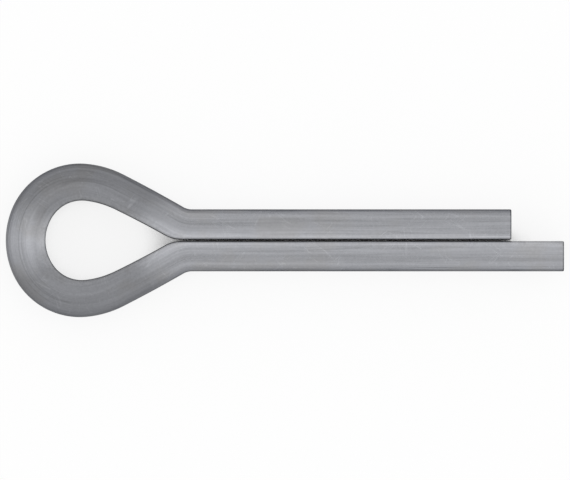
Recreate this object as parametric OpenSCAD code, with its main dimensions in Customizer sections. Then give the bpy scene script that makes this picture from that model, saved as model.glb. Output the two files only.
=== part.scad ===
// Extended-prong cotter pin, made from one length of half-round wire.
//
// The wire is bent double about an eye, so that its flat lies inside the bend
// and the two legs close into a round shank. The pin lies in the XY plane.
// The origin is on the shank's axis at the shoulder, where the shank leaves
// the eye. +X runs along the legs to their cut ends, +Z is square to the eye,
// the short leg is on the +Y side and the long leg on the -Y side.

/* [Shank] */
// Diameter of the shank, over both closed legs
shank_d = 4.6; // [3.6:0.1:5.2]
// Length of the short leg, from the shoulder to its cut end
short_leg_l = 23.7; // [8:0.1:60]
// How far the long leg reaches past the short one
long_leg_extra = 3.9; // [0:0.1:6]
// Gap between the flats of the two legs
leg_gap = 0.12; // [0.04:0.02:0.6]

/* [Eye, outside] */
// Width across the eye
eye_w = 11.4; // [9.6:0.1:14]
// Angle that the crown's arc turns on each side of the axis, in degrees
crown_angle = 21; // [10:1:30]
// Radius of the crown's arc over the radius of the cheeks' arcs
crown_ratio = 1.13; // [1.02:0.01:1.4]
// Radius of the arcs that ease the cheeks into the flanks
ease_r = 7.5; // [6:0.1:12]
// Angle that those easing arcs turn, in degrees
ease_angle = 22; // [8:1:26]
// Angle that each long, nearly straight flank turns, in degrees
flank_angle = 3; // [1:0.5:6]
// Angle of the flanks to the shank's axis where they reach the neck, in degrees
slope_angle = 30; // [24:1:36]
// Radius of the hollow where each flank runs into its leg
neck_r = 1.3; // [0.6:0.1:4]

/* [Eye, hole] */
// Thickness of the wire at the crown
crown_wall = 2.95; // [2:0.05:3.4]
// Thickness of the wire at the cheeks
cheek_wall = 2.75; // [2:0.05:3.4]
// Angle that the hole's crown arc turns on each side of the axis, in degrees
hole_crown_angle = 36; // [22:1:42]
// Radius of the hole's crown arc over the radius of its cheek arcs
hole_crown_ratio = 1.25; // [1.02:0.01:1.5]
// Radius of the arcs that ease the hole's cheeks into its flanks
hole_ease_r = 6.8; // [4:0.1:10]
// Angle that those easing arcs turn, in degrees
hole_ease_angle = 19; // [8:1:26]
// Angle that each long, nearly straight flank of the hole turns, in degrees
hole_flank_angle = 3; // [1:0.5:6]
// Angle of the hole's flanks to the shank's axis where they reach its tip, in degrees
hole_slope_angle = 29; // [23:1:34]
// Radius of the bend at the hole's tip, where each flat closes on the other leg
tip_r = 2.4; // [1:0.1:6]

/* [Edges] */
// Width of the rounding along both edges of the wire's flat
flat_edge = 0.2; // [0.15:0.01:0.4]
// Width of the edge break round each cut end
end_break = 0.1; // [0.02:0.01:0.3]

/* [Hidden] */
$fn = 96;

// Angle by which neighbouring sweeps overlap, so that they always fuse
seam_angle = 0.000001;
// Angle by which the hole's cutter runs on past the crown
past_crown_angle = 5;
// Share of the shank's radius by which a cutter runs past the metal
over_share = 0.4;
// Share of the hole's cheek radius that its cutter reaches inwards
cutter_share = 0.8;
// Grid that the coarse step of a move keeps to
grid = 0.001;
// Centre of the edge rounding over its width: above 1, the arc meets both
// faces at a slight angle and isn't tangent to them
rounding_share = 1.2;

shank_r = shank_d / 2;
cut_over = shank_r * over_share;
long_leg_l = short_leg_l + long_leg_extra;
hole_w = eye_w - 2 * cheek_wall;
// Depth of the swept bar before the hole is cut, past the thickest wall
bar_depth = max(crown_wall, cheek_wall, shank_r) + flat_edge;

function heading(a) = [cos(a), sin(a)];

// The upper half of a loop is a chain of five tangent arcs, from the crown on
// the axis to the leg at height y: crown, cheek, ease, flank and neck. The neck
// curves the other way, and the flank's radius is what brings it down to y.
// Each arc is [centre, radius, direction of its start, angle that it turns,
// 1 if it is the neck]. The crown is at zero.
function loop_arcs(w, ratio, crown, ease_r, ease, flank, slope, neck_r, y, past = 0) =
    let (
        neck_start = 90 - slope,
        flank_start = neck_start + flank,
        ease_start = flank_start + ease,
        cheek_start = 180 - crown,
        cheek_r = w / 2 / (1 + (ratio - 1) * sin(crown)),
        crown_r = cheek_r * ratio,
        crown_c = [crown_r, 0],
        cheek_c = crown_c + (crown_r - cheek_r) * heading(cheek_start),
        ease_c = cheek_c + (cheek_r - ease_r) * heading(ease_start),
        drop = ease_c.y + ease_r * sin(flank_start) - y - neck_r * (1 - sin(neck_start)),
        flank_r = drop / (sin(flank_start) - sin(neck_start)),
        flank_c = ease_c + (ease_r - flank_r) * heading(flank_start),
        neck_c = flank_c + (flank_r + neck_r) * heading(neck_start)
    )
    [
        [crown_c, crown_r, cheek_start, crown + past, 0],
        [cheek_c, cheek_r, ease_start, cheek_start - ease_start, 0],
        [ease_c, ease_r, flank_start, ease, 0],
        [flank_c, flank_r, neck_start, flank, 0],
        [neck_c, neck_r, 270 - slope, slope, 1]
    ];

function loop_length(arcs) = arcs[4][0].x;

eye_arcs = loop_arcs(
    eye_w, crown_ratio, crown_angle, ease_r, ease_angle, flank_angle, slope_angle, neck_r, shank_r);
hole_arcs = loop_arcs(
    hole_w, hole_crown_ratio, hole_crown_angle, hole_ease_r, hole_ease_angle, hole_flank_angle,
    hole_slope_angle, tip_r, leg_gap / 2, past_crown_angle);

eye_l = loop_length(eye_arcs);
cutter_depth = hole_arcs[1][1] * cutter_share;

// Moves in a coarse step and a fine one, so that no digit is lost and arcs
// worked out from different centres meet exactly
module place(p) {
    coarse = [for (v = p) round(v / grid) * grid];
    translate(coarse) translate(p - coarse) children();
}

// The profiles below are drawn with x across the outline, positive outwards,
// and y as the height above the eye's middle plane.

// Half-round wire: a round outside, and a square bar behind it to be cut back
module wire_profile() {
    intersection() {
        translate([-shank_r, 0]) circle(shank_r);
        translate([-shank_r, -shank_d]) square([shank_d, 2 * shank_d]);
    }
    translate([-bar_depth, -shank_r]) square([bar_depth - shank_r, shank_d]);
}

// Cuts the flat that faces the hole and rounds both of its edges
module flat_profile() {
    centre = flat_edge * rounding_share;
    translate([-cutter_depth, -shank_d]) square([cutter_depth, 2 * shank_d]);
    for (side = [0, 1])
        mirror([0, side])
            difference() {
                translate([-flat_edge, shank_r - flat_edge])
                    square([2 * flat_edge, flat_edge + cut_over]);
                translate([centre, shank_r - centre])
                    circle(norm([centre, centre - flat_edge]));
            }
}

// Sweeps a profile round the upper half of a loop and on along its leg at height y
module sweep_half(arcs, y, leg_l) {
    for (arc = arcs)
        place(arc[0])
            rotate_extrude(start = arc[2] - seam_angle, angle = arc[3] + 2 * seam_angle)
                place([arc[1], 0]) mirror([arc[4], 0]) children();
    place([loop_length(arcs), y])
        rotate([90, 0, 90])
            linear_extrude(leg_l)
                children();
}

// Trims the sharp edge round the cut end of a leg
module end_break_ring(leg_l) {
    reach = end_break + cut_over;
    translate([leg_l, 0, 0])
        rotate([0, 90, 0])
            rotate_extrude()
                translate([shank_r, 0])
                    polygon([[-end_break, 0], [cut_over, -reach], [cut_over, reach], [-end_break, reach]]);
}

// Half of the pin: its side of the eye and one leg
module half_pin(leg_l) {
    difference() {
        place([-eye_l, 0]) sweep_half(eye_arcs, shank_r, leg_l) wire_profile();
        place([crown_wall - eye_l, 0]) sweep_half(hole_arcs, leg_gap / 2, leg_l + eye_l) flat_profile();
        end_break_ring(leg_l);
    }
}

module cotter_pin() {
    color([0.66, 0.67, 0.69]) {
        half_pin(short_leg_l);
        mirror([0, 1, 0]) half_pin(long_leg_l);
    }
}

cotter_pin();
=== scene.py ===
"""A cotter pin of half-round wire, finished in satin grey plating and laid flat on a pale floor.

The wire is swept along the pin's outer outline by Geometry Nodes. The outline and the hole
inside the eye are the same two chains of tangent arcs as in the solid model, in metres.
+X runs along the legs to their cut ends, +Z is square to the eye, the short leg is at +Y.
"""

import math

import bpy
import numpy as np
from bpy.props import FloatProperty, FloatVectorProperty, IntProperty, PointerProperty
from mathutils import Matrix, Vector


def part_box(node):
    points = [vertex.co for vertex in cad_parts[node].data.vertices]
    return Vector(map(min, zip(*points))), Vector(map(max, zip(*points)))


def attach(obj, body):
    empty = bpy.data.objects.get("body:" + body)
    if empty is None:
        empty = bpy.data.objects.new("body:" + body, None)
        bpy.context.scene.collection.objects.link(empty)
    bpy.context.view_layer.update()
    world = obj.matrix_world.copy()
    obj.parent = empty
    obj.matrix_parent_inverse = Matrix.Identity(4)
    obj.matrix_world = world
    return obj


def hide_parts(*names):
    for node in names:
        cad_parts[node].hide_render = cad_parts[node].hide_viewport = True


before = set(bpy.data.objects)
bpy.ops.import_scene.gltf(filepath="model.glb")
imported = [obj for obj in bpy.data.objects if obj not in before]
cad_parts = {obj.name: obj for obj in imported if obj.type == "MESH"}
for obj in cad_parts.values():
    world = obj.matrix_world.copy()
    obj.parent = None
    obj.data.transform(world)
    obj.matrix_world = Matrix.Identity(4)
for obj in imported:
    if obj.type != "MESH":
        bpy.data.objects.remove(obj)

bl_info = {
    "name": "Cotter Pin",
    "version": (1, 0, 0),
    "blender": (4, 5, 0),
    "location": "View3D > Sidebar > Cotter Pin",
    "description": "Makes a cotter pin of plated half-round wire and the floor it lies on",
    "category": "Add Mesh",
}

MM = 0.001
CAD_NODE = "cotter_pin"

# Attributes that the guide line carries to the sweep, point by point
WALL = "wall"
ALONG = "along"
INSET = "inset"
SHRINK = "shrink"
BEND = "bend"
TUCK = "tuck"
GUIDE_ATTRIBUTES = (WALL, ALONG, INSET, SHRINK, BEND, TUCK)

# Attributes that the finished wire keeps for its material
WIRE = "wire_place"
EDGE = "edge_wear"
BREAK = "cut_edge"
CUT = "cut_face"
TORN = "torn_face"
BENT = "bent_share"
HIDDEN = "between_legs"


# ---------------------------------------------------------------- sizes and looks


def length(name, description, value):
    """A length property, given in millimetres."""
    return FloatProperty(
        name=name,
        description=description,
        default=value * MM,
        precision=5,
        subtype="DISTANCE",
        unit="LENGTH",
    )


def angle(name, description, degrees):
    """An angle property, given in degrees."""
    return FloatProperty(
        name=name,
        description=description,
        default=math.radians(degrees),
        min=0.0,
        subtype="ANGLE",
        unit="ROTATION",
    )


def share(name, description, value, top=1.0):
    """A plain number from 0 up to a top value."""
    return FloatProperty(
        name=name, description=description, default=value, min=0.0, max=top, subtype="FACTOR"
    )


def colour(name, description, value):
    """A colour property."""
    return FloatVectorProperty(
        name=name,
        description=description,
        default=value,
        size=3,
        min=0.0,
        max=1.0,
        subtype="COLOR",
    )


class CotterPinShank(bpy.types.PropertyGroup):
    """Sizes of the shank and of its two legs."""

    diameter: length("Diameter", "Diameter of the shank, over both closed legs", 4.6)
    short_leg: length("Short leg", "Length of the short leg, from the shoulder", 23.7)
    long_extra: length("Long leg extra", "How far the long leg reaches past the short one", 3.9)
    gap: length("Gap", "Gap between the flats of the two legs", 0.12)
    flat_edge: length("Flat edge", "Width of the rounding along the edges of the flat", 0.2)
    end_break: length("End break", "Rounding of the edge round each cut end", 0.1)


class CotterPinEye(bpy.types.PropertyGroup):
    """Shape of the eye's outside."""

    width: length("Width", "Width across the eye", 11.4)
    crown: angle("Crown", "Angle of the crown's arc on each side of the axis", 21)
    crown_ratio: share("Crown ratio", "Crown's radius over the cheeks' radius", 1.13, 2.0)
    ease_r: length("Ease radius", "Radius of the arcs from the cheeks to the flanks", 7.5)
    ease: angle("Ease", "Angle of those easing arcs", 22)
    flank: angle("Flank", "Angle that each nearly straight flank turns", 3)
    slope: angle("Slope", "Angle of the flanks to the axis at the neck", 30)
    neck_r: length("Neck radius", "Radius of the hollow from each flank to its leg", 1.3)


class CotterPinHole(bpy.types.PropertyGroup):
    """Shape of the hole inside the eye."""

    crown_wall: length("Crown wall", "Thickness of the wire at the crown", 2.95)
    cheek_wall: length("Cheek wall", "Thickness of the wire at the cheeks", 2.75)
    crown: angle("Crown", "Angle of the hole's crown arc on each side of the axis", 36)
    crown_ratio: share("Crown ratio", "Crown's radius over the cheeks' radius", 1.25, 2.0)
    ease_r: length("Ease radius", "Radius of the arcs from the cheeks to the flanks", 6.8)
    ease: angle("Ease", "Angle of those easing arcs", 19)
    flank: angle("Flank", "Angle that each nearly straight flank turns", 3)
    slope: angle("Slope", "Angle of the flanks to the axis at the tip", 29)
    tip_r: length("Tip radius", "Radius of the bend where the flats close", 2.4)


class CotterPinFinish(bpy.types.PropertyGroup):
    """Fineness of the mesh, and the look of the plated steel."""

    pitch: length("Pitch", "Distance between sections of the wire round the eye", 0.2)
    leg_pitch: length("Leg pitch", "Distance between sections of the wire along the legs", 0.4)
    round_points: IntProperty(
        name="Round points",
        description="Points on each quarter of the wire's round",
        default=22,
        min=4,
        max=64,
    )
    edge_points: IntProperty(
        name="Edge points",
        description="Points on the rounding of each edge of the flat",
        default=6,
        min=2,
        max=16,
    )
    flat_cuts: IntProperty(
        name="Flat cuts", description="Cuts across the wire's flat", default=12, min=1, max=40
    )
    waviness: length("Waviness", "Height of the wire's slight unevenness", 0.006)
    fracture: length("Fracture", "Depth of the torn part of each cropped end", 0.05)
    steel: colour("Steel", "Colour of the plated steel", (0.398, 0.405, 0.43))
    dull_steel: colour("Dull steel", "Colour of the dull patches", (0.371, 0.373, 0.386))
    worn_steel: colour("Worn steel", "Colour of the rubbed edges", (0.46, 0.465, 0.485))
    grazing: colour(
        "Grazing tint", "Tint of what the steel mirrors at its rims", (0.15, 0.15, 0.155)
    )
    roughness: share("Roughness", "Roughness of the plated steel", 0.32)


class CotterPinStage(bpy.types.PropertyGroup):
    """The floor, the light and the camera."""

    floor: colour("Floor", "Colour of the floor", (0.93, 0.93, 0.93))
    floor_width: length("Floor width", "Width of the square floor", 4000)
    floor_glow: share("Floor glow", "Share of plain white in what is seen of the floor", 0.85)
    shade_reach: length("Shade reach", "How far the pin's contact shadow spreads", 3)
    overhead: share("Overhead", "Brightness of the sky overhead, in line with the legs", 0.99, 2.0)
    sides: share("Sides", "Brightness of the sky to both sides of the legs", 0.8, 2.0)
    horizon: share("Horizon", "Brightness of what lies past the floor's edge", 0.99, 2.0)
    softbox: share("Softbox", "Brightness of the softbox above the pin", 0.35, 4.0)
    softbox_length: length("Softbox length", "Size of the softbox along the legs", 1800)
    softbox_width: length("Softbox width", "Size of the softbox across the legs", 900)
    softbox_height: length("Softbox height", "Height of the softbox over the floor", 1200)
    view_width: length("View width", "Width of what the camera sees", 42.294)
    view_x: length("View centre X", "Middle of the view along the legs", 6.9006)
    view_y: length("View centre Y", "Middle of the view across the legs", 0.0245)
    camera_height: length("Camera height", "Height of the camera over the pin", 300)


# ---------------------------------------------------------------- outlines


def heading(a):
    """Unit vector that points at angle a."""
    return np.array([math.cos(a), math.sin(a)])


def loop_arcs(width, shape, last_radius, leg_y):
    """The upper half of a loop as tangent arcs, from its crown at zero to its leg at leg_y.

    Each arc is (centre, radius, first direction, last direction, outward sign). The last one
    is the neck, which curves the other way, and the flank's radius is what brings it to leg_y.
    """
    neck_start = math.pi / 2 - shape.slope
    flank_start = neck_start + shape.flank
    ease_start = flank_start + shape.ease
    cheek_start = math.pi - shape.crown
    cheek_r = width / 2 / (1 + (shape.crown_ratio - 1) * math.sin(shape.crown))
    crown_r = cheek_r * shape.crown_ratio
    crown_c = np.array([crown_r, 0.0])
    cheek_c = crown_c + (crown_r - cheek_r) * heading(cheek_start)
    ease_c = cheek_c + (cheek_r - shape.ease_r) * heading(ease_start)
    drop = (
        ease_c[1]
        + shape.ease_r * math.sin(flank_start)
        - leg_y
        - last_radius * (1 - math.sin(neck_start))
    )
    flank_r = drop / (math.sin(flank_start) - math.sin(neck_start))
    flank_c = ease_c + (shape.ease_r - flank_r) * heading(flank_start)
    neck_c = flank_c + (flank_r + last_radius) * heading(neck_start)
    return [
        (crown_c, crown_r, math.pi, cheek_start, 1),
        (cheek_c, cheek_r, cheek_start, ease_start, 1),
        (ease_c, shape.ease_r, ease_start, flank_start, 1),
        (flank_c, flank_r, flank_start, neck_start, 1),
        (neck_c, last_radius, neck_start + math.pi, 1.5 * math.pi, -1),
    ]


def trace_arcs(arcs, crown_x, pitch, depth=0.0):
    """Points at about one pitch along the arcs, and the outward heading at each.

    A hollow arc is stepped finer, so that metal of that depth behind it keeps the pitch too.
    """
    points = []
    outward = []
    for centre, radius, first, last, sign in arcs:
        widest = radius + depth if sign < 0 else radius
        steps = math.ceil(widest * abs(last - first) / pitch)
        for a in np.linspace(first, last, steps, endpoint=False):
            points.append(centre + radius * heading(a) + (crown_x, 0))
            outward.append(sign * heading(a))
    return np.array(points), np.array(outward)


def walls(points, outward, hole):
    """Distance from each outline point straight inwards to the hole's outline."""
    found = []
    for point, out in zip(points, outward):
        ahead = hole - point
        across = ahead @ np.array([-out[1], out[0]])
        inwards = -(ahead @ out)
        change = np.nonzero((across[:-1] <= 0) != (across[1:] <= 0))[0]
        part = across[change] / (across[change] - across[change + 1])
        depth = inwards[change] + part * (inwards[change + 1] - inwards[change])
        found.append(depth[depth > 0].min())
    return np.array(found)


# Where the legs begin to shut the flats away, past the eye's tip, and where they have done so
TUCK_START = np.array([-1.0, 0.2]) * MM
# Where that ends, past the short leg's cut end
TUCK_END = np.array([-0.3, 0.0]) * MM
# How far before the shoulder the look of bent wire, with the eye's painted shade, is full
BEND_REACH = 3.0 * MM
# Points on the hole's outline for each section of the wire round the eye
HOLE_POINTS = 10
# Sections round the edge of a cut end, and rings across its face
BREAK_ROWS = 5
CUT_RINGS = 12
# Each ring of a cut face is this much further on, so that no two rows fall together
RING_STEP = 0.0005 * MM
# Points closer than this become one
MERGE_DISTANCE = RING_STEP / 5
# Share of a ring's step that the last ring stops short of the middle
LAST_STEP = 0.3


def half_guide(shank, eye, hole, finish, leg_length):
    """One side of the guide from the crown to the leg's end: points and rows of numbers."""
    eye_arcs = loop_arcs(eye.width, eye, eye.neck_r, shank.diameter / 2)
    hole_arcs = loop_arcs(
        eye.width - 2 * hole.cheek_wall, hole, hole.tip_r, shank.gap / 2
    )
    eye_length = eye_arcs[-1][0][0]
    points, outward = trace_arcs(eye_arcs, -eye_length, finish.pitch, shank.diameter / 2)
    steps = math.ceil((leg_length - shank.end_break) / finish.leg_pitch)
    leg_x = np.linspace(0, leg_length - shank.end_break, steps)
    leg = np.column_stack([leg_x, np.full(steps, shank.diameter / 2)])
    points = np.vstack([points, leg])
    outward = np.vstack([outward, np.tile([0.0, 1.0], (steps, 1))])

    rim, _ = trace_arcs(hole_arcs, hole.crown_wall - eye_length, finish.pitch / HOLE_POINTS)
    rim_end = [[leg_length, shank.gap / 2]]
    rim = np.vstack([(rim * (1, -1))[:0:-1], rim, rim_end])
    tuck_x = np.concatenate([TUCK_START, shank.short_leg + TUCK_END])
    rows = {
        WALL: walls(points, outward, rim),
        BEND: np.clip(-points[:, 0] / BEND_REACH, 0, 1),
        TUCK: np.interp(points[:, 0], tuck_x, (0, 1, 1, 0)),
    }
    return points, rows


def end_rows(end_break):
    """Rounded edge and flat face of a cut end: how far on, how far inset, how far shrunk."""
    turn = np.linspace(0, math.pi / 2, BREAK_ROWS)[1:]
    step = np.arange(1, CUT_RINGS + 1)
    onward = np.concatenate([end_break * np.sin(turn), end_break + step * RING_STEP])
    inset = np.concatenate([end_break * (1 - np.cos(turn)), np.full(CUT_RINGS, end_break)])
    shrink = np.concatenate([np.zeros(BREAK_ROWS - 1), step / (CUT_RINGS + LAST_STEP)])
    return onward, inset, shrink


def side_rows(shank, eye, hole, finish, side, leg_length):
    """One side of the guide with its cut end, on +Y or -Y: points and rows of numbers."""
    points, rows = half_guide(shank, eye, hole, finish, leg_length)
    onward, inset, shrink = end_rows(shank.end_break)
    end = points[-1] + np.column_stack([onward, np.zeros(len(onward))])
    rows = {
        name: np.append(row, np.full(len(end), row[-1])) for name, row in rows.items()
    }
    rows[INSET] = np.append(np.zeros(len(points)), inset)
    rows[SHRINK] = np.append(np.zeros(len(points)), shrink)
    return np.vstack([points, end]) * (1, side), rows


def guide_rows(shank, eye, hole, finish):
    """The whole guide, from the short leg's cut face round the eye to the long leg's."""
    long_leg = shank.short_leg + shank.long_extra
    short, short_rows = side_rows(shank, eye, hole, finish, 1, shank.short_leg)
    long, long_rows = side_rows(shank, eye, hole, finish, -1, long_leg)
    points = np.vstack([short[:0:-1], long])
    rows = {
        name: np.append(short_rows[name][:0:-1], long_rows[name]) for name in short_rows
    }
    gaps = np.linalg.norm(np.diff(points, axis=0), axis=1)
    rows[ALONG] = np.append(0, np.cumsum(gaps))
    return points, rows


def guide_mesh(name, points, rows):
    """A chain of edges through the points, with one attribute for each row of numbers."""
    mesh = bpy.data.meshes.new(name)
    count = len(points)
    mesh.from_pydata(
        [(x, y, 0.0) for x, y in points], [(i, i + 1) for i in range(count - 1)], []
    )
    for attribute, values in rows.items():
        layer = mesh.attributes.new(attribute, "FLOAT", "POINT")
        layer.data.foreach_set("value", values.astype(np.float32))
    return mesh


# ---------------------------------------------------------------- node helpers

# Layout of a tree: nodes in a row, and their spacing
ROW_NODES = 24
NODE_WIDTH = 180
ROW_HEIGHT = 400
# Numbers that an arithmetic step takes, where it doesn't take two
MATH_INPUTS = {"SQRT": 1, "ABSOLUTE": 1, "MULTIPLY_ADD": 3}
UP = (0.0, 0.0, 1.0)
ALONG_LEGS = (1.0, 0.0, 0.0)


def find_socket(sockets, key):
    """The socket at an index, or the shown socket of that name."""
    shown = [s for s in sockets if s.enabled]
    if isinstance(key, int):
        return shown[key]
    return next(s for s in shown if s.name == key)


class Nodes:
    """Adds nodes to a tree in rows, from left to right, and links them."""

    def __init__(self, tree):
        self.tree = tree
        self.count = 0

    def add(self, kind, inputs=None, **settings):
        """Adds a node. Each input is a value, or a socket to link from."""
        node = self.tree.nodes.new(kind)
        row, column = divmod(self.count, ROW_NODES)
        node.location = (column * NODE_WIDTH, -row * ROW_HEIGHT)
        self.count += 1
        for name, value in settings.items():
            setattr(node, name, value)
        for key, value in (inputs or {}).items():
            socket = find_socket(node.inputs, key)
            if isinstance(value, bpy.types.NodeSocket):
                self.tree.links.new(value, socket)
            else:
                socket.default_value = value
        return node

    def out(self, kind, inputs=None, output=0, **settings):
        """Adds a node and gives one of its outputs."""
        return find_socket(self.add(kind, inputs, **settings).outputs, output)

    def math(self, operation, a, b=0.0, c=0.0):
        """One arithmetic step on numbers."""
        inputs = dict(enumerate((a, b, c)[: MATH_INPUTS.get(operation, 2)]))
        return self.out("ShaderNodeMath", inputs, operation=operation)

    def vector(self, operation, a, b):
        """One arithmetic step on vectors."""
        return self.out("ShaderNodeVectorMath", {0: a, 1: b}, operation=operation)

    def scaled(self, vector, factor):
        """A vector times a number."""
        inputs = {0: vector, "Scale": factor}
        return self.out("ShaderNodeVectorMath", inputs, operation="SCALE")

    def parts(self, vector):
        """The three numbers of a vector."""
        return self.add("ShaderNodeSeparateXYZ", {0: vector}).outputs

    def ramp(self, value, low, high, smooth=True):
        """0 at low, 1 at high, and smooth or straight between them."""
        inputs = {"Value": value, "From Min": low, "From Max": high}
        kind = "SMOOTHSTEP" if smooth else "LINEAR"
        return self.out("ShaderNodeMapRange", inputs, interpolation_type=kind)

    def blend(self, factor, a, b, kind="FLOAT"):
        """From a to b by a factor."""
        return self.out("ShaderNodeMix", {"Factor": factor, "A": a, "B": b}, data_type=kind)

    def noise(self, place, scale, detail, roughness):
        """Noise between about 0.3 and 0.7, at a scale per metre."""
        inputs = {"Vector": place, "Scale": scale, "Detail": detail, "Roughness": roughness}
        return self.out("ShaderNodeTexNoise", inputs)


# ---------------------------------------------------------------- wire sweep

SWEEP_INPUTS = (
    ("Radius", "NodeSocketFloat", "Radius of the wire's round side"),
    ("Widest Wall", "NodeSocketFloat", "Thickness of the section before the flat is set"),
    ("Flat Edge", "NodeSocketFloat", "Rounding along both edges of the flat"),
    ("Round Points", "NodeSocketInt", "Points on each quarter of the round"),
    ("Edge Points", "NodeSocketInt", "Points on each rounded edge"),
    ("Flat Cuts", "NodeSocketInt", "Cuts across the flat"),
    ("Waviness", "NodeSocketFloat", "Height of the wire's unevenness"),
    ("Fracture", "NodeSocketFloat", "Depth of the torn part of each cut face"),
    ("Merge Distance", "NodeSocketFloat", "Points closer than this become one"),
    ("Material", "NodeSocketMaterial", "Finish of the wire"),
)

# Depth of the round that stays as it is when the flat moves, over the round's radius
STEADY_DEPTH = 0.7
# Unevenness of drawn wire, and grain of its torn ends: scale per metre, detail, roughness
WAVES = (260.0, 2.0, 0.55)
TEAR_GRAIN = (3200.0, 3.0, 0.6)
# How far a section is shrunk where the cut face's look begins, and where it is full
FACE_START = 0.03
FACE_FULL = 0.2
# Heights over the wire's middle where a cropped end begins to be torn, and is all torn
TORN_TOP = 0.1 * MM
TORN_BOTTOM = -0.3 * MM
# How far the torn part's border strays, in slow waves and by its grain
BORDER_WAVES = 1.6 * MM
BORDER_GRAIN = 0.8 * MM
# Inset at which the painted dark line round a cut end, a painted shade on its turned edge, is full
BREAK_LINE = 0.01 * MM
# Bands along the flat's edges, over the width of their rounding: how deep into the wire and
# how far across it the rubbing goes, and how deep a hidden flat is
RUBBED_DEPTH = 1.6
RUBBED_WIDTH = 2.0
HIDDEN_DEPTH = 0.1
# Share of the rubbing that is left on edges shut away between the legs
TUCKED_RUB = 0.2


def captured(nodes, geometry):
    """Keeps the place and the normal of the geometry's points for use after the sweep."""
    node = nodes.add("GeometryNodeCaptureAttribute", {"Geometry": geometry}, domain="POINT")
    sources = {"Place": "GeometryNodeInputPosition", "Facing": "GeometryNodeInputNormal"}
    for name, source in sources.items():
        node.capture_items.new("VECTOR", name)
        nodes.tree.links.new(nodes.out(source), node.inputs[name])
    return node.outputs


def named(nodes, attribute):
    """The numbers of an attribute of that name."""
    return nodes.out(
        "GeometryNodeInputNamedAttribute", {"Name": attribute}, data_type="FLOAT"
    )


def store(nodes, geometry, attribute, value, kind="FLOAT"):
    """Stores values on the points under a name."""
    return nodes.out(
        "GeometryNodeStoreNamedAttribute",
        {"Geometry": geometry, "Name": attribute, "Value": value},
        data_type=kind,
        domain="POINT",
    )


def either(nodes, test, yes, no, kind):
    """One value where a test holds, and another where it doesn't."""
    inputs = {"Switch": test, "False": no, "True": yes}
    return nodes.out("GeometryNodeSwitch", inputs, input_type=kind)


def compare(nodes, operation, a, b):
    """A test on two numbers."""
    inputs = {"A": a, "B": b}
    return nodes.out("FunctionNodeCompare", inputs, data_type="FLOAT", operation=operation)


def wire_section(nodes, values):
    """Half-round section: a box with two big rounded corners and two small ones.

    X runs from minus the widest wall at the flat to 0 at the round's crest, and Y across.
    """
    width = values["Widest Wall"]
    box = nodes.out(
        "GeometryNodeCurvePrimitiveQuadrilateral",
        {"Width": width, "Height": nodes.math("MULTIPLY", values["Radius"], 2.0)},
    )
    x = nodes.parts(nodes.out("GeometryNodeInputPosition"))["X"]
    on_round = compare(nodes, "GREATER_THAN", x, 0.0)
    radius = either(nodes, on_round, values["Radius"], values["Flat Edge"], "FLOAT")
    count = either(nodes, on_round, values["Round Points"], values["Edge Points"], "INT")
    rounded = nodes.out(
        "GeometryNodeFilletCurve", {"Curve": box, "Count": count, "Radius": radius}, mode="POLY"
    )
    index = nodes.out("GeometryNodeInputIndex")
    corner_points = nodes.math("ADD", values["Round Points"], values["Edge Points"])
    on_flat = compare(nodes, "EQUAL", index, nodes.math("ADD", corner_points, 1.0))
    cuts = either(nodes, on_flat, values["Flat Cuts"], 0, "INT")
    section = nodes.out("GeometryNodeSubdivideCurve", {"Curve": rounded, "Cuts": cuts})
    aside = nodes.out("ShaderNodeCombineXYZ", {"X": nodes.math("MULTIPLY", width, -0.5)})
    section = nodes.out("GeometryNodeSetPosition", {"Geometry": section, "Offset": aside})
    return nodes.out("GeometryNodeSetCurveNormal", {"Curve": section}, mode="Z_UP")


def swept_wire(nodes, values):
    """Sweeps the section along the guide. Gives the guide, the section and the wire.

    The guide runs along the crest of the round, and its normal points out of the pin.
    """
    curve = nodes.out("GeometryNodeMeshToCurve", {"Mesh": values["Guide"]})
    curve = nodes.out("GeometryNodeSetCurveNormal", {"Curve": curve}, mode="Z_UP")
    guide = captured(nodes, curve)
    section = captured(nodes, wire_section(nodes, values))
    curves = {"Curve": guide["Geometry"], "Profile Curve": section["Geometry"]}
    wire = nodes.out("GeometryNodeCurveToMesh", {**curves, "Fill Caps": True})
    return guide, section, wire


def round_height(nodes, radius, depth):
    """Half the width of the round at a depth below its crest, up to its full radius."""
    level = nodes.math("MAXIMUM", nodes.math("SUBTRACT", radius, depth), 0.0)
    whole = nodes.math("POWER", radius, 2.0)
    square = nodes.math("SUBTRACT", whole, nodes.math("POWER", level, 2.0))
    return nodes.math("SQRT", nodes.math("MAXIMUM", square, 0.0))


def moved_flat(nodes, values, depth, across):
    """Moves the flat to the wall's own thickness. Gives the new depth and height of a point.

    What moves along the round is narrowed, so that it stays on the same circle.
    """
    round_end = nodes.math("SUBTRACT", values["Widest Wall"], values["Flat Edge"])
    round_start = nodes.math("MULTIPLY", values["Radius"], STEADY_DEPTH)
    moved = nodes.ramp(depth, round_start, round_end, smooth=False)
    shift = nodes.math("SUBTRACT", named(nodes, WALL), values["Widest Wall"])
    new_depth = nodes.math("MULTIPLY_ADD", moved, shift, depth)
    narrowing = nodes.math(
        "DIVIDE",
        round_height(nodes, values["Radius"], new_depth),
        round_height(nodes, values["Radius"], depth),
    )
    return new_depth, nodes.math("MULTIPLY", across, narrowing)


def wire_normal(nodes, values, outward, facing, depth, across):
    """Where the wire faces: away from its middle on the round, and as its section elsewhere."""
    from_middle = nodes.out(
        "ShaderNodeCombineXYZ",
        {"X": nodes.math("SUBTRACT", values["Radius"], depth), "Y": across},
    )
    on_round = nodes.math("LESS_THAN", depth, values["Radius"])
    facing = nodes.blend(on_round, facing, from_middle, "VECTOR")
    facing = nodes.parts(nodes.out("ShaderNodeVectorMath", {0: facing}, operation="NORMALIZE"))
    return nodes.vector(
        "ADD", nodes.scaled(outward, facing["X"]), nodes.scaled(UP, facing["Y"])
    )


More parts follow.
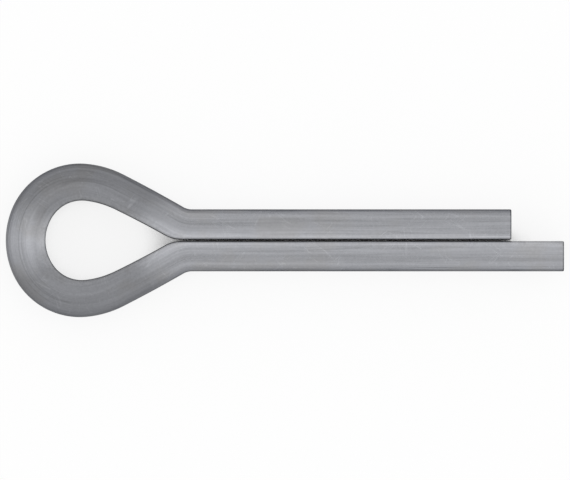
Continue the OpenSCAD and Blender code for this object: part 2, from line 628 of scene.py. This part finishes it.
def wire_position(nodes, guide, normal, depth, height):
    """Where a point lies, drawn in round a cut end's edge and closing over its face."""
    position = nodes.vector("SUBTRACT", guide["Place"], nodes.scaled(guide["Facing"], depth))
    position = nodes.vector("ADD", position, nodes.scaled(UP, height))
    position = nodes.vector("SUBTRACT", position, nodes.scaled(normal, named(nodes, INSET)))
    half_wall = nodes.math("MULTIPLY", named(nodes, WALL), 0.5)
    middle = nodes.vector("SUBTRACT", guide["Place"], nodes.scaled(guide["Facing"], half_wall))
    return nodes.blend(named(nodes, SHRINK), position, middle, "VECTOR")


def roughened(nodes, values, position, normal):
    """Adds the slight unevenness of drawn wire, and the torn lower part of each cropped end.

    Gives the new position, and how far a point is on a cut face and on its torn part.
    """
    waves = nodes.noise(position, *WAVES)
    wave = nodes.math("MULTIPLY", nodes.math("SUBTRACT", waves, 0.5), values["Waviness"])
    wave = nodes.math("MULTIPLY", wave, nodes.math("SUBTRACT", 1.0, named(nodes, SHRINK)))
    position = nodes.vector("ADD", position, nodes.scaled(normal, wave))
    grain = nodes.noise(position, *TEAR_GRAIN)
    face = nodes.ramp(named(nodes, SHRINK), FACE_START, FACE_FULL)
    border = nodes.math("MULTIPLY_ADD", waves, BORDER_WAVES, -BORDER_WAVES / 2)
    border = nodes.math("MULTIPLY_ADD", grain, BORDER_GRAIN, border)
    border = nodes.math("ADD", nodes.parts(position)["Z"], border)
    torn = nodes.math("MULTIPLY", face, nodes.ramp(border, TORN_TOP, TORN_BOTTOM))
    tear = nodes.math("MULTIPLY", nodes.math("MULTIPLY", torn, grain), values["Fracture"])
    position = nodes.vector("SUBTRACT", position, nodes.scaled(ALONG_LEGS, tear))
    return position, face, torn


def edge_fields(nodes, values, depth, across, face):
    """Rubbed edges of the flat, broken edges of the cut ends, and flats that are shut away."""
    off_face = nodes.math("SUBTRACT", 1.0, face)
    flat_edge = values["Flat Edge"]
    from_flat = nodes.math("SUBTRACT", values["Widest Wall"], depth)
    near_flat = nodes.ramp(from_flat, nodes.math("MULTIPLY", flat_edge, RUBBED_DEPTH), 0.0)
    band = nodes.math("MULTIPLY", flat_edge, RUBBED_WIDTH)
    band = nodes.math("SUBTRACT", values["Radius"], band)
    near_side = nodes.ramp(nodes.math("ABSOLUTE", across), band, values["Radius"])
    rubbed = nodes.math("MULTIPLY", nodes.math("MULTIPLY", near_flat, near_side), off_face)
    rubbed = nodes.math("MULTIPLY", rubbed, nodes.blend(named(nodes, TUCK), 1.0, TUCKED_RUB))
    # Round each cut end's edge a dark line is painted, as painted shade
    broken = nodes.ramp(named(nodes, INSET), 0.0, BREAK_LINE)
    # Where a flat is shut away between the legs: rougher there, and painted darker as painted
    # shade
    hidden = nodes.ramp(from_flat, nodes.math("MULTIPLY", flat_edge, HIDDEN_DEPTH), 0.0)
    hidden = nodes.math("MULTIPLY", nodes.math("MULTIPLY", hidden, named(nodes, TUCK)), off_face)
    return {EDGE: rubbed, BREAK: nodes.math("MULTIPLY", broken, off_face), HIDDEN: hidden}


def sweep_tree(name):
    """Node tree that sweeps the half-round section along the guide and sets its flat."""
    tree = bpy.data.node_groups.new(name, "GeometryNodeTree")
    tree.interface.new_socket("Guide", in_out="INPUT", socket_type="NodeSocketGeometry")
    for title, kind, description in SWEEP_INPUTS:
        socket = tree.interface.new_socket(title, in_out="INPUT", socket_type=kind)
        socket.description = description
    tree.interface.new_socket("Wire", in_out="OUTPUT", socket_type="NodeSocketGeometry")
    nodes = Nodes(tree)
    values = nodes.add("NodeGroupInput").outputs

    guide, section, wire = swept_wire(nodes, values)
    place = nodes.parts(section["Place"])
    depth = nodes.math("MULTIPLY", place["X"], -1.0)
    new_depth, height = moved_flat(nodes, values, depth, place["Y"])
    normal = wire_normal(
        nodes, values, guide["Facing"], section["Facing"], depth, place["Y"]
    )
    position = wire_position(nodes, guide, normal, new_depth, height)
    position, face, torn = roughened(nodes, values, position, normal)
    wire = nodes.out("GeometryNodeSetPosition", {"Geometry": wire, "Position": position})
    wire = nodes.out(
        "GeometryNodeMergeByDistance", {"Geometry": wire, "Distance": values["Merge Distance"]}
    )
    wire = nodes.out("GeometryNodeFlipFaces", {"Mesh": wire})

    # What the material needs to know at each point
    wire_place = nodes.out(
        "ShaderNodeCombineXYZ", {"X": named(nodes, ALONG), "Y": new_depth, "Z": height}
    )
    wire = store(nodes, wire, WIRE, wire_place, "FLOAT_VECTOR")
    fields = edge_fields(nodes, values, depth, place["Y"], face)
    fields |= {CUT: face, TORN: torn, BENT: named(nodes, BEND)}
    for attribute, field in fields.items():
        wire = store(nodes, wire, attribute, field)
    for attribute in GUIDE_ATTRIBUTES:
        wire = nodes.out("GeometryNodeRemoveAttribute", {"Geometry": wire, "Name": attribute})
    wire = nodes.out("GeometryNodeSetShadeSmooth", {"Geometry": wire})
    wire = nodes.out("GeometryNodeRealizeInstances", {"Geometry": wire})
    wire = nodes.out(
        "GeometryNodeSetMaterial", {"Geometry": wire, "Material": values["Material"]}
    )
    nodes.add("NodeGroupOutput", {"Wire": wire})
    return tree


def set_inputs(modifier, values):
    """Sets a modifier's inputs by their names, through each socket's identifier."""
    for item in modifier.node_group.interface.items_tree:
        if item.in_out == "INPUT" and item.name in values:
            modifier[item.identifier] = values[item.name]


def plain_piece(name, mesh, tree, values):
    """Runs a tree on a mesh and gives the result as an object with a plain mesh."""
    maker = bpy.data.objects.new(name + "_guide", mesh)
    bpy.context.scene.collection.objects.link(maker)
    modifier = maker.modifiers.new("Sweep", "NODES")
    modifier.node_group = tree
    set_inputs(modifier, values)
    graph = bpy.context.evaluated_depsgraph_get()
    made = bpy.data.meshes.new_from_object(maker.evaluated_get(graph), depsgraph=graph)
    made.name = name
    piece = bpy.data.objects.new(name, made)
    bpy.context.scene.collection.objects.link(piece)
    bpy.data.objects.remove(maker)
    return piece


# ---------------------------------------------------------------- finishes

# Each pattern is a noise: its scale per metre, its detail and its roughness.
# Scales along the wire, into it and across it
BROAD_LINES = ((40.0, 1500.0, 1500.0), 4.0, 0.65)
FINE_LINES = ((160.0, 6500.0, 6500.0), 2.0, 0.5)
SCORES = ((22.0, 1150.0, 1150.0), 1.0, 0.5)
SCORED_SPOTS = ((110.0, 600.0, 600.0), 2.0, 0.5)
# Scales along the legs, across them and upwards
SHEAR_LINES = ((300.0, 8000.0, 350.0), 2.0, 0.5)
SCRATCHES = ((90.0, 1500.0, 500.0), 1.0, 0.5)
SCRATCHED_SPOTS = ((420.0, 620.0, 420.0), 2.0, 0.5)
# The same scale in every direction
PATCHES = (330.0, 4.0, 0.6)
RUBBED_SPOTS = (1500.0, 3.0, 0.5)
ORANGE_PEEL = (3600.0, 2.0, 0.6)
PLATING_GRAIN = (6000.0, 3.0, 0.65)
TORN_GRAIN = (9000.0, 3.0, 0.7)
# Noise values at which spots of each kind begin, and at which they are full
SCORED = (0.5, 0.6)
SCRATCHED = (0.56, 0.62)
RUBBED = (0.3, 0.55)
DULL = (-0.05, 0.15)
# Share of fine lines among the draw lines
FINE_SHARE = 0.4
# Distance from a noise's middle value at which a hairline ends
HAIRLINE = 0.02
# Angle of each set of scratches in radians, and a shift that keeps the sets apart
SCRATCH_SETS = (
    (0.5, (0.0, 0.0, 0.0)),
    (-0.8, (0.1, 0.2, 0.3)),
    (1.3, (0.5, 0.1, 0.7)),
)
# Depths into the wire from which its inner side is painted darker, as painted shade that tones
# down its highlight there, and is so in full
INNER_SHADE_DEPTHS = (1.2 * MM, 2.2 * MM)
# The bent wire is made rougher, and painted darker as painted shade, with its distance from the
# pin's axis, up to this one
EYE_SHADE_REACH = 3.0 * MM
EYE_SHADE_POWER = 1.4
# How much nearer to the axis that roughness and painted shade begin on its inner side
INNER_EYE_SHADE = 1.4
# Orange peel on straight wire, over that on bent wire
STRAIGHT_PEEL = 0.1
# What each mark adds to the steel's tone and roughness, and its height in millimetres
MARK_EFFECTS = {
    "draw lines": (1.1, 0.5, 0.016),
    "orange peel": (0.0, 0.0, 0.01),
    "scores": (-0.14, 0.0, -0.006),
    "scratches": (0.12, -0.08, -0.004),
    "torn grain": (0.0, 0.0, 0.06),
    "plating grain": (0.3, 0.0, 0.0),
    "patches": (0.3, 0.25, 0.0),
    "torn face": (-0.3, 0.3, 0.0),
    # Painted shade: a dark line round each cut end's edge
    "edge break": (-0.55, 0.0, 0.0),
    # Painted shade: the inner side along the flat is darkened
    "inner side": (-0.12, 0.0, 0.0),
    "bend": (0.0, 0.08, 0.0),
    # Rougher on the eye away from the axis, where it is also painted darker as painted shade
    "dull_and_shaded": (0.0, 0.15, 0.0),
    "rubbed edge": (0.0, -0.1, 0.0),
    "cut face": (0.0, -0.05, 0.0),
    # Flats shut away between the legs are rougher, and are also painted darker as painted shade
    "hidden flat": (0.0, 0.3, 0.0),
}
TONE, ROUGHNESS, HEIGHT = range(3)
# Tone that the painted shade leaves on flats shut away between the legs, and on the eye where it
# lies farthest from the axis
SLIT_SHADE_TONE = 0.7
EYE_SHADE_TONE = 0.68


def new_material(name):
    """An empty node material and its node adder."""
    material = bpy.data.materials.new(name)
    material.use_nodes = True
    material.node_tree.nodes.clear()
    return material, Nodes(material.node_tree)


def kept(nodes, name, output="Fac"):
    """What the wire keeps under a name."""
    return nodes.out("ShaderNodeAttribute", {}, output, attribute_name=name)


def streaks(nodes, place, scales, detail, roughness):
    """Noise with a scale of its own in each of three directions."""
    return nodes.noise(nodes.vector("MULTIPLY", place, scales), 1.0, detail, roughness)


def centred(nodes, field):
    """A noise moved to lie round zero."""
    return nodes.math("SUBTRACT", field, 0.5)


def hairlines(nodes, place, pattern):
    """Thin lines, where a drawn-out noise passes through its middle value."""
    away = nodes.math("ABSOLUTE", centred(nodes, streaks(nodes, place, *pattern)))
    return nodes.ramp(away, HAIRLINE, 0.0)


def scratch_set(nodes, at, turn, shift):
    """Sparse short hairlines across the metal, all at one angle to the legs."""
    turned = nodes.out(
        "ShaderNodeVectorRotate", {"Vector": at, "Angle": turn}, rotation_type="Z_AXIS"
    )
    turned = nodes.vector("ADD", turned, shift)
    spots = nodes.ramp(streaks(nodes, turned, *SCRATCHED_SPOTS), *SCRATCHED)
    return nodes.math("MULTIPLY", hairlines(nodes, turned, SCRATCHES), spots)


def steel_marks(nodes):
    """The marks on the steel by name: shares from 0 to 1, and noises."""
    place = kept(nodes, WIRE, "Vector")
    at = nodes.out("ShaderNodeTexCoord", {}, "Object")
    cut = kept(nodes, CUT)
    torn = kept(nodes, TORN)
    bent = kept(nodes, BENT)

    # Draw lines run along the wire and round the eye, with a few deeper scores among them
    broad_lines = streaks(nodes, place, *BROAD_LINES)
    lines = nodes.blend(FINE_SHARE, broad_lines, streaks(nodes, place, *FINE_LINES))
    scored = nodes.ramp(streaks(nodes, place, *SCORED_SPOTS), *SCORED)
    scores = nodes.math("MULTIPLY", hairlines(nodes, place, SCORES), scored)
    # Cropped ends have fine upright shear lines above a torn, grainy part
    grain = nodes.noise(at, *PLATING_GRAIN)
    lines = nodes.blend(cut, lines, streaks(nodes, at, *SHEAR_LINES))
    lines = nodes.blend(torn, lines, grain)
    torn_grain = nodes.math("MULTIPLY", nodes.noise(at, *TORN_GRAIN), torn)
    # The wire's inner side, along the flat, is painted a little darker, as painted shade that
    # tones down its highlight
    inner = nodes.ramp(nodes.parts(place)["Y"], *INNER_SHADE_DEPTHS)
    inner = nodes.math("MULTIPLY", inner, nodes.math("SUBTRACT", 1.0, cut))
    # The eye is pebbled where it is bent, and is made rougher and painted darker, as painted
    # shade, the farther it lies from the pin's axis
    aside = nodes.math("ABSOLUTE", nodes.parts(at)["Y"])
    aside = nodes.math("MULTIPLY", aside, nodes.blend(inner, 1.0, INNER_EYE_SHADE))
    dull_and_shaded = nodes.math("POWER", nodes.ramp(aside, 0.0, EYE_SHADE_REACH, smooth=False), EYE_SHADE_POWER)
    peel = nodes.noise(at, *ORANGE_PEEL)
    peel = nodes.math("MULTIPLY", peel, nodes.blend(bent, STRAIGHT_PEEL, 1.0))
    # Scratches from loose packing run all over, in a few directions
    scratches = 0.0
    for turn, shift in SCRATCH_SETS:
        scratches = nodes.math("MAXIMUM", scratches, scratch_set(nodes, at, turn, shift))
    rubbed = nodes.ramp(nodes.noise(at, *RUBBED_SPOTS), *RUBBED)
    return {
        "draw lines": centred(nodes, lines),
        "orange peel": peel,
        "scores": scores,
        "scratches": scratches,
        "torn grain": torn_grain,
        "plating grain": centred(nodes, grain),
        "patches": centred(nodes, nodes.noise(at, *PATCHES)),
        "torn face": torn,
        "edge break": kept(nodes, BREAK),
        "inner side": inner,
        "bend": bent,
        "dull_and_shaded": nodes.math("MULTIPLY", dull_and_shaded, bent),
        "rubbed edge": nodes.math("MULTIPLY", kept(nodes, EDGE), rubbed),
        "cut face": cut,
        "hidden flat": kept(nodes, HIDDEN),
    }


def summed(nodes, marks, effect, total):
    """A total and what the marks add to it."""
    for name, mark in marks.items():
        amount = MARK_EFFECTS[name][effect]
        if amount:
            total = nodes.math("MULTIPLY_ADD", mark, amount, total)
    return total


def relief(nodes, marks):
    """Surface normal with the height of each mark, one after the other."""
    normal = None
    for name, mark in marks.items():
        height = MARK_EFFECTS[name][HEIGHT]
        if height:
            inputs = {"Height": mark, "Strength": 1.0, "Distance": height * MM}
            if normal:
                inputs["Normal"] = normal
            normal = nodes.out("ShaderNodeBump", inputs, "Normal")
    return normal


def steel_material(finish):
    """Satin grey plating over drawn wire: draw lines, scores, fine scratches and rubbed edges,
    with painted shade on the eye away from the axis, along the inner side, between the legs and
    round the cut ends.
    """
    material, nodes = new_material("plated_steel_wire")
    marks = steel_marks(nodes)
    tone = summed(nodes, marks, TONE, 1.0)
    # Painted shade: flats shut away between the legs are darkened
    tone = nodes.math("MULTIPLY", tone, nodes.blend(marks["hidden flat"], 1.0, SLIT_SHADE_TONE))
    # Painted shade: the eye is darkened the farther it lies from the pin's axis
    tone = nodes.math("MULTIPLY", tone, nodes.blend(marks["dull_and_shaded"], 1.0, EYE_SHADE_TONE))
    dull = nodes.ramp(marks["patches"], *DULL)
    metal = nodes.blend(dull, (*finish.steel, 1), (*finish.dull_steel, 1), "RGBA")
    metal = nodes.blend(marks["rubbed edge"], metal, (*finish.worn_steel, 1), "RGBA")
    shader = nodes.out(
        "ShaderNodeBsdfPrincipled",
        {
            "Base Color": nodes.scaled(metal, tone),
            "Metallic": 1.0,
            "Roughness": summed(nodes, marks, ROUGHNESS, finish.roughness),
            "Specular Tint": (*finish.grazing, 1),
            "Normal": relief(nodes, marks),
        },
    )
    nodes.add("ShaderNodeOutputMaterial", {"Surface": shader})
    return material


BOARD_ROUGHNESS = 0.9
# Rays that look for what stands over each spot of the floor
SHADE_RAYS = 12
# Open sky over a spot of the floor at which it begins to be seen white, and is so in full
OPEN_SKY = (0.05, 0.45)


def floor_material(stage):
    """Plain pale matt board, which is seen nearly white out of the pin's contact shadow."""
    material, nodes = new_material("pale_board")
    board = nodes.out(
        "ShaderNodeBsdfPrincipled",
        {
            "Base Color": (*stage.floor, 1),
            "Roughness": BOARD_ROUGHNESS,
            "Specular IOR Level": 0.0,
        },
    )
    white = nodes.out("ShaderNodeEmission", {"Color": (1, 1, 1, 1), "Strength": 1.0})
    rays = nodes.add("ShaderNodeLightPath").outputs
    seen = nodes.math("MAXIMUM", rays["Is Camera Ray"], rays["Is Glossy Ray"])
    seen = nodes.math("MAXIMUM", seen, rays["Is Transmission Ray"])
    reach = {"Distance": stage.shade_reach}
    openness = nodes.out("ShaderNodeAmbientOcclusion", reach, "AO", samples=SHADE_RAYS)
    glow = nodes.math("MULTIPLY", seen, stage.floor_glow)
    glow = nodes.math("MULTIPLY", glow, nodes.ramp(openness, *OPEN_SKY))
    surface = nodes.out("ShaderNodeMixShader", {0: glow, 1: board, 2: white})
    nodes.add("ShaderNodeOutputMaterial", {"Surface": surface})
    return material


# ---------------------------------------------------------------- operators

# Distance from the camera at which things begin to be drawn
NEAREST_SEEN = 10 * MM


class COTTER_PIN_OT_wire(bpy.types.Operator):
    """Sweeps the half-round wire round the eye and along both legs"""

    bl_idname = "cotter_pin.wire"
    bl_label = "Make Wire"
    bl_options = {"REGISTER", "UNDO"}

    def execute(self, context):
        scene = context.scene
        shank = scene.cotter_pin_shank
        hole = scene.cotter_pin_hole
        finish = scene.cotter_pin_finish
        points, rows = guide_rows(shank, scene.cotter_pin_eye, hole, finish)
        mesh = guide_mesh("cotter_pin_guide", points, rows)
        values = {
            "Radius": shank.diameter / 2,
            "Widest Wall": max(rows[WALL].max(), shank.diameter / 2 + shank.flat_edge),
            "Flat Edge": shank.flat_edge,
            "Round Points": finish.round_points,
            "Edge Points": finish.edge_points,
            "Flat Cuts": finish.flat_cuts,
            "Waviness": finish.waviness,
            "Fracture": finish.fracture,
            "Merge Distance": MERGE_DISTANCE,
            "Material": steel_material(finish),
        }
        wire = plain_piece("cotter_pin_wire", mesh, sweep_tree("half_round_sweep"), values)
        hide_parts(CAD_NODE)
        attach(wire, "root")
        return {"FINISHED"}


class COTTER_PIN_OT_stage(bpy.types.Operator):
    """Lays out the floor, the light and the camera"""

    bl_idname = "cotter_pin.stage"
    bl_label = "Make Stage"
    bl_options = {"REGISTER", "UNDO"}

    def execute(self, context):
        stage = context.scene.cotter_pin_stage
        self.make_floor(stage)
        self.make_sky(context.scene, stage)
        self.make_softbox(stage)
        self.make_camera(context.scene, stage)
        context.scene.view_settings.view_transform = "Standard"
        return {"FINISHED"}

    def make_floor(self, stage):
        """A square of pale board under the pin."""
        low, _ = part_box(CAD_NODE)
        half = stage.floor_width / 2
        mesh = bpy.data.meshes.new("floor")
        corners = [(-half, -half), (half, -half), (half, half), (-half, half)]
        mesh.from_pydata([(x, y, low.z) for x, y in corners], [], [(0, 1, 2, 3)])
        mesh.materials.append(floor_material(stage))
        floor = bpy.data.objects.new("floor", mesh)
        bpy.context.scene.collection.objects.link(floor)

    def make_sky(self, scene, stage):
        """Even light from all round, weaker to both sides of the legs."""
        world = bpy.data.worlds.new("soft_sky")
        world.use_nodes = True
        world.node_tree.nodes.clear()
        nodes = Nodes(world.node_tree)
        direction = nodes.parts(nodes.out("ShaderNodeTexCoord", {}, "Generated"))
        aside = nodes.math("POWER", nodes.math("ABSOLUTE", direction["Y"]), 2.0)
        strength = nodes.blend(aside, stage.overhead, stage.sides)
        below = nodes.math("LESS_THAN", direction["Z"], 0.0)
        strength = nodes.blend(below, strength, stage.horizon)
        back = nodes.out("ShaderNodeBackground", {"Strength": strength, "Color": (1, 1, 1, 1)})
        nodes.add("ShaderNodeOutputWorld", {"Surface": back})
        scene.world = world

    def make_softbox(self, stage):
        """One long softbox overhead, in line with the legs."""
        light = bpy.data.lights.new("softbox", "AREA")
        light.shape = "RECTANGLE"
        light.size = stage.softbox_length
        light.size_y = stage.softbox_width
        # The power that gives each square metre of a lamp this brightness
        light.energy = stage.softbox * math.pi * light.size * light.size_y
        softbox = bpy.data.objects.new("softbox", light)
        softbox.location = (0, 0, stage.softbox_height)
        bpy.context.scene.collection.objects.link(softbox)

    def make_camera(self, scene, stage):
        """A flat view straight down on the pin."""
        data = bpy.data.cameras.new("camera")
        data.type = "ORTHO"
        data.ortho_scale = stage.view_width
        data.clip_start = NEAREST_SEEN
        camera = bpy.data.objects.new("camera", data)
        camera.location = (stage.view_x, stage.view_y, stage.camera_height)
        bpy.context.scene.collection.objects.link(camera)
        scene.camera = camera


class COTTER_PIN_PT_panel(bpy.types.Panel):
    """Lists the pin's sizes and the steps that make it"""

    bl_idname = "COTTER_PIN_PT_panel"
    bl_label = "Cotter Pin"
    bl_space_type = "VIEW_3D"
    bl_region_type = "UI"
    bl_category = "Cotter Pin"

    def draw(self, context):
        layout = self.layout
        for title, group, _ in GROUPS:
            settings = getattr(context.scene, group)
            box = layout.box()
            box.label(text=title)
            for prop in settings.bl_rna.properties:
                if prop.identifier in settings.__annotations__:
                    box.prop(settings, prop.identifier)
        for operator in OPERATORS:
            layout.operator(operator.bl_idname)


# Groups of settings: the title, the name in the scene and the type of each
GROUPS = (
    ("Shank", "cotter_pin_shank", CotterPinShank),
    ("Eye", "cotter_pin_eye", CotterPinEye),
    ("Hole", "cotter_pin_hole", CotterPinHole),
    ("Finish", "cotter_pin_finish", CotterPinFinish),
    ("Stage", "cotter_pin_stage", CotterPinStage),
)
OPERATORS = (COTTER_PIN_OT_wire, COTTER_PIN_OT_stage)
CLASSES = (*(kind for _, _, kind in GROUPS), *OPERATORS, COTTER_PIN_PT_panel)


def register():
    for cls in CLASSES:
        bpy.utils.register_class(cls)
    for _, group, kind in GROUPS:
        setattr(bpy.types.Scene, group, PointerProperty(type=kind))


def unregister():
    for _, group, _ in GROUPS:
        delattr(bpy.types.Scene, group)
    for cls in reversed(CLASSES):
        bpy.utils.unregister_class(cls)


def main():
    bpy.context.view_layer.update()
    register()
    bpy.ops.cotter_pin.wire()
    bpy.ops.cotter_pin.stage()


if __name__ == "__main__":
    main()
